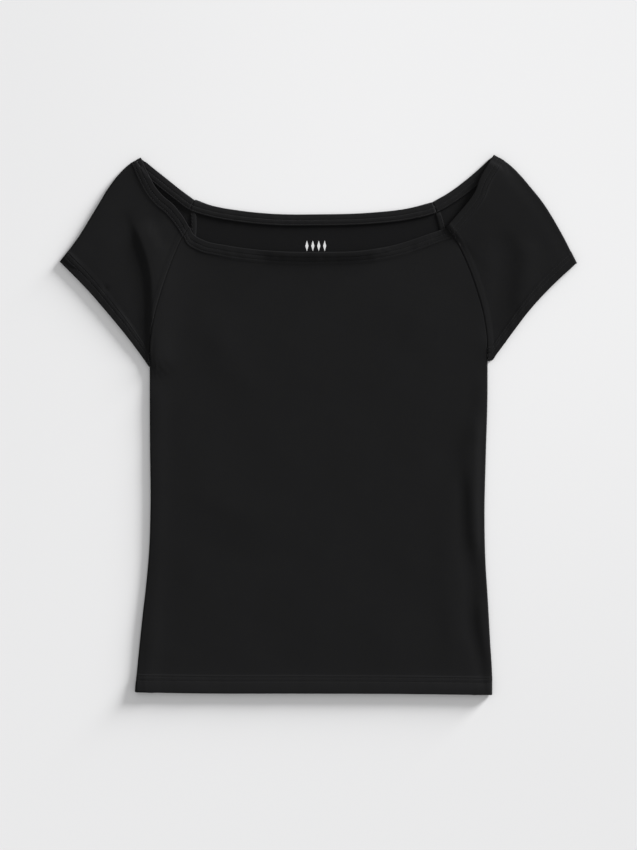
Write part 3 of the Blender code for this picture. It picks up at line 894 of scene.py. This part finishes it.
def jersey_material(name, dark, light, roughness, shine):
    """Fine black jersey: upright wales, small loops across them, and a soft uneven nap."""
    material, nodes, links, shader = new_material(name)
    place = nodes.new("ShaderNodeUVMap")
    place.uv_map = "cloth"
    split = nodes.new("ShaderNodeSeparateXYZ")
    links.new(place.outputs["UV"], split.inputs[0])
    wale_turn = math_node(nodes, links, "MULTIPLY", split.outputs["X"], 2 * math.pi / WALE_PITCH)
    wale = math_node(nodes, links, "COSINE", wale_turn)
    lean = math_node(nodes, links, "MULTIPLY", wale, 1.3)
    course_turn = math_node(nodes, links, "MULTIPLY", split.outputs["Y"], 2 * math.pi / COURSE_PITCH)
    course = math_node(nodes, links, "SINE", math_node(nodes, links, "ADD", course_turn, lean))
    ridge = math_node(nodes, links, "MULTIPLY", math_node(nodes, links, "ADD", wale, 1.0), 0.5)
    loop = math_node(nodes, links, "MULTIPLY", course, 0.35)
    knit = math_node(nodes, links, "ADD", ridge, loop)

    nap = nodes.new("ShaderNodeTexNoise")
    nap.inputs["Scale"].default_value = 420
    nap.inputs["Detail"].default_value = 4
    links.new(place.outputs["UV"], nap.inputs["Vector"])
    cloud = nodes.new("ShaderNodeTexNoise")
    cloud.inputs["Scale"].default_value = 9
    cloud.inputs["Detail"].default_value = 3
    links.new(place.outputs["UV"], cloud.inputs["Vector"])

    height = math_node(nodes, links, "ADD", knit, math_node(
        nodes, links, "MULTIPLY", nap.outputs["Fac"], 0.8))
    bump = nodes.new("ShaderNodeBump")
    bump.inputs["Strength"].default_value = 0.5
    bump.inputs["Distance"].default_value = KNIT_RISE
    links.new(height, bump.inputs["Height"])
    links.new(bump.outputs["Normal"], shader.inputs["Normal"])

    shade = math_node(nodes, links, "ADD", math_node(
        nodes, links, "MULTIPLY", cloud.outputs["Fac"], 0.55), math_node(
        nodes, links, "MULTIPLY", nap.outputs["Fac"], 0.45))
    colour = nodes.new("ShaderNodeMix")
    colour.data_type = "RGBA"
    links.new(shade, colour.inputs["Factor"])
    colour.inputs["A"].default_value = dark
    colour.inputs["B"].default_value = light
    links.new(colour.outputs["Result"], shader.inputs["Base Color"])
    dull = nodes.new("ShaderNodeMapRange")
    dull.inputs["To Min"].default_value = roughness - ROUGHNESS_SPREAD
    dull.inputs["To Max"].default_value = roughness + ROUGHNESS_SPREAD
    links.new(nap.outputs["Fac"], dull.inputs["Value"])
    links.new(dull.outputs["Result"], shader.inputs["Roughness"])
    shader.inputs["Specular IOR Level"].default_value = shine
    shader.inputs["Sheen Weight"].default_value = 0.02
    shader.inputs["Sheen Roughness"].default_value = 0.5
    return material


def thread_material():
    material, nodes, links, shader = new_material("black thread")
    twist = nodes.new("ShaderNodeTexNoise")
    twist.inputs["Scale"].default_value = 900
    ramp = nodes.new("ShaderNodeMapRange")
    ramp.inputs["To Min"].default_value = 0.5
    ramp.inputs["To Max"].default_value = 0.7
    links.new(twist.outputs["Fac"], ramp.inputs["Value"])
    links.new(ramp.outputs["Result"], shader.inputs["Roughness"])
    shader.inputs["Base Color"].default_value = THREAD_COLOUR
    shader.inputs["Specular IOR Level"].default_value = 0.22
    return material


def print_material():
    material, nodes, links, shader = new_material("white print")
    crackle = nodes.new("ShaderNodeTexNoise")
    crackle.inputs["Scale"].default_value = 700
    ink = nodes.new("ShaderNodeMix")
    ink.data_type = "RGBA"
    ink.inputs["A"].default_value = INK_COLOURS[0]
    ink.inputs["B"].default_value = INK_COLOURS[1]
    links.new(crackle.outputs["Fac"], ink.inputs["Factor"])
    links.new(ink.outputs["Result"], shader.inputs["Base Color"])
    shader.inputs["Roughness"].default_value = 0.6
    return material


def floor_material():
    material, nodes, links, shader = new_material("pale paper, painted light falloff")
    place = nodes.new("ShaderNodeTexCoord")
    split = nodes.new("ShaderNodeSeparateXYZ")
    links.new(place.outputs["Object"], split.inputs[0])
    across = nodes.new("ShaderNodeMapRange")
    across.interpolation_type = "SMOOTHSTEP"
    across.inputs["From Min"].default_value = -0.45
    across.inputs["From Max"].default_value = 0.10
    links.new(split.outputs["X"], across.inputs["Value"])
    up = nodes.new("ShaderNodeMapRange")
    up.interpolation_type = "SMOOTHSTEP"
    up.inputs["From Min"].default_value = -0.45
    up.inputs["From Max"].default_value = 0.25
    links.new(split.outputs["Y"], up.inputs["Value"])
    # Painted light falloff: the paper is drawn darker towards the left and the bottom.
    lit = math_node(nodes, links, "MULTIPLY", across.outputs["Result"], up.outputs["Result"])
    tone = nodes.new("ShaderNodeMix")
    tone.data_type = "RGBA"
    tone.inputs["A"].default_value = PAPER_PAINTED_FALLOFF[0]
    tone.inputs["B"].default_value = PAPER_PAINTED_FALLOFF[1]
    links.new(lit, tone.inputs["Factor"])
    links.new(tone.outputs["Result"], shader.inputs["Base Color"])
    shader.inputs["Roughness"].default_value = 0.9
    shader.inputs["Specular IOR Level"].default_value = 0.1
    return material


# Studio

def set_camera():
    camera = bpy.data.cameras.new("camera")
    camera.sensor_fit = "VERTICAL"
    camera.sensor_height = SENSOR
    camera.lens = SENSOR * CAMERA_HEIGHT / VIEW_HEIGHT
    camera.clip_end = 50
    holder = bpy.data.objects.new("camera", camera)
    holder.location = (VIEW_MIDDLE[0] * MM, VIEW_MIDDLE[1] * MM, CAMERA_HEIGHT * MM)
    bpy.context.scene.collection.objects.link(holder)
    bpy.context.scene.camera = holder


def set_floor():
    ways = [(-1, -1), (1, -1), (1, 1), (-1, 1)]
    corners = np.array([(x * FLOOR_HALF, y * FLOOR_HALF, FLOOR_Z) for x, y in ways], float)
    floor = mesh_piece("floor", corners, [(0, 1, 2, 3)], floor_material())


def set_light():
    world = bpy.data.worlds.new("studio")
    world.use_nodes = True
    world.node_tree.nodes["Background"].inputs["Color"].default_value = (1, 1, 1, 1)
    world.node_tree.nodes["Background"].inputs["Strength"].default_value = SKY_STRENGTH
    bpy.context.scene.world = world
    elevation = math.radians(KEY_ELEVATION)
    azimuth = math.radians(KEY_AZIMUTH)
    key = bpy.data.lights.new("key", "SUN")
    key.energy = KEY_ENERGY
    key.angle = math.radians(KEY_ANGLE)
    holder = bpy.data.objects.new("key", key)
    holder.rotation_euler = (0, math.pi / 2 - elevation, math.pi / 2 - azimuth)
    bpy.context.scene.collection.objects.link(holder)


def main():
    bpy.context.scene.view_settings.view_transform = "Standard"
    cloth = jersey_material("black jersey", *JERSEY)
    # The back panel gets the darker jersey: painted shade on the inside of the back.
    inside = jersey_material("black jersey of the back, painted shade", *BACK_PAINTED_SHADE)
    # The neck hem gets the lighter jersey: a painted highlight on the raised hem.
    neck_hem_lit_cloth = jersey_material("neck hem jersey, painted light", *NECK_HEM_PAINTED_LIGHT)
    thread = thread_material()

    front, skin, facing, up, down = front_jersey(cloth)
    back, _, _ = back_jersey(inside)
    pieces = {"front_panel": front, "back_panel": back}
    sewn = [
        stitch_piece("bottom_hem_stitches", needle_runs(skin, facing, up, BOTTOM_HEM), thread),
        stitch_piece("front_neck_stitches", needle_runs(skin, facing, down, NECK_HEM), thread),
    ]
    for hand in ("left", "right"):
        sleeve, skin, facing, up, down = sleeve_jersey(hand, cloth)
        pieces[f"sleeve_{hand}"] = sleeve
        runs = needle_runs(skin, facing, up, SLEEVE_HEM)
        sewn.append(stitch_piece(f"sleeve_{hand}_hem_stitches", runs, thread))
        runs = needle_runs(skin, facing, down, NECK_HEM)
        sewn.append(stitch_piece(f"sleeve_{hand}_neck_stitches", runs, thread))

    _, _, at, seams = neck_run()
    spans = {
        "neck_hem_back": (seams[0] + SEAM_GAP / 2, seams[1] - SEAM_GAP / 2),
        "neck_hem_sleeve_left": (STRIP_END, seams[0] - SEAM_GAP / 2),
        "neck_hem_sleeve_right": (seams[1] + SEAM_GAP / 2, at[-1] - STRIP_END),
    }
    for node, (start, end) in spans.items():
        piece, surface, along = neck_hem(f"{node}_jersey", start, end, neck_hem_lit_cloth)
        pieces[node] = piece
        upright = np.zeros_like(surface)
        upright[..., 2] = 1
        runs = [(line_at(surface, along, row), line_at(upright, along, row))
                for row in NEEDLE_ROWS]
        sewn.append(stitch_piece(f"{node}_stitches", runs, thread, COVER_PITCH, COVER_LENGTH,
                                 COVER_LEAN))

    for hand in ("left", "right"):
        sewn.append(seam_filling(hand, cloth))
        sewn.extend(overlock(hand, cloth, thread))

    for node, piece in pieces.items():
        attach(piece, "root")
        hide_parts(node)
    for piece in sewn:
        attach(piece, "root")
    mark = neck_print(print_material())
    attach(mark, "root")

    set_floor()
    set_camera()
    set_light()


main()
